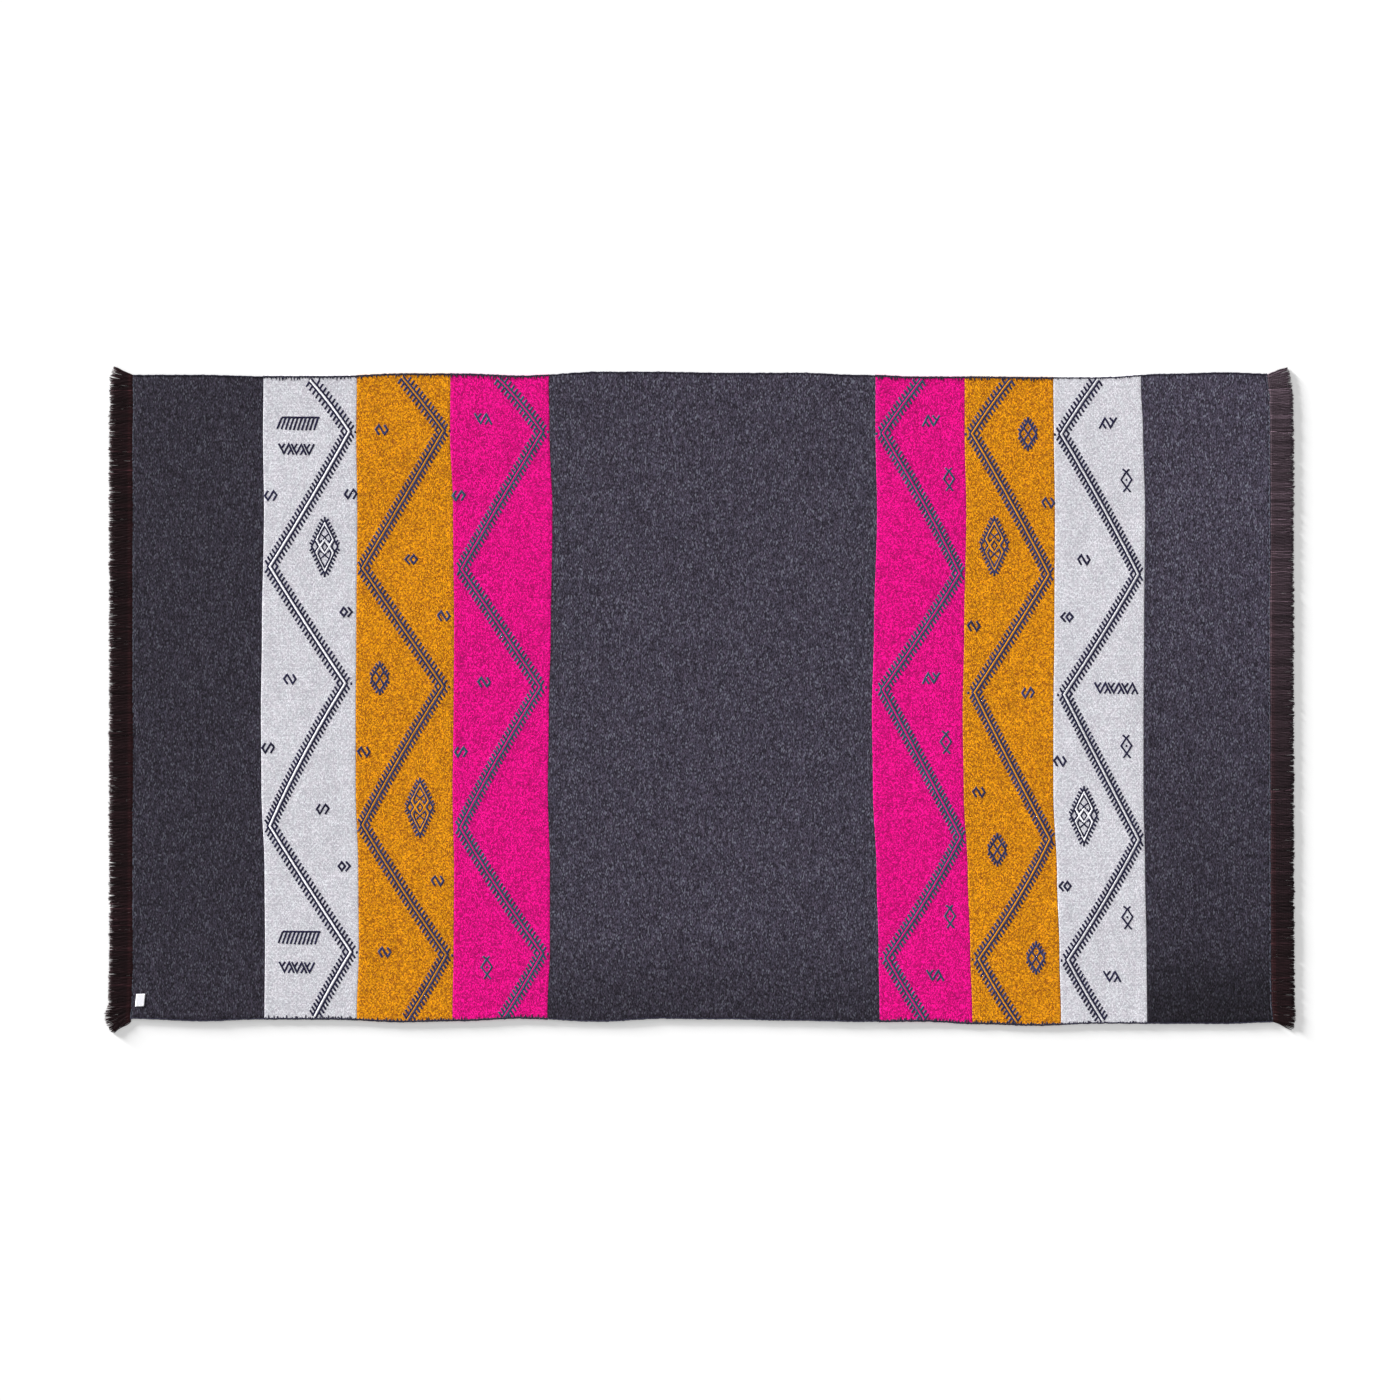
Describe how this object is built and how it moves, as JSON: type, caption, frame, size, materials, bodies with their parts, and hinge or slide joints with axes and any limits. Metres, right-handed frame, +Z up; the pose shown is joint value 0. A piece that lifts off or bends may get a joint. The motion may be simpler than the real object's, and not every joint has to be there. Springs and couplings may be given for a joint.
{
  "type": "throw blanket",
  "caption": "Flat woven wool throw with coloured cross bands, woven zigzag and lozenge motifs, a yarn fringe on both short ends and a small bare label.",
  "frame": {"origin": "middle of the throw with its fringes, on the surface that it lies on", "axes": "+X along the length from one fringe to the other, +Y across the width, +Z up"},
  "size_m": [2.3326, 1.2958, 0.0039],
  "materials": {
    "ground_yarn": "charcoal wool weave",
    "white_yarn": "off-white wool weave",
    "mustard_yarn": "mustard wool weave",
    "magenta_yarn": "magenta wool weave",
    "motif_yarn": "dark navy wool floats",
    "fringe_yarn": "dark brown-black wool yarn",
    "label_tape": "white woven tape"
  },
  "bodies": {
    "root": {"cloth": "ground_yarn", "fringe_left": "fringe_yarn", "fringe_right": "fringe_yarn", "label": "label_tape"}
  },
  "joints": []
}
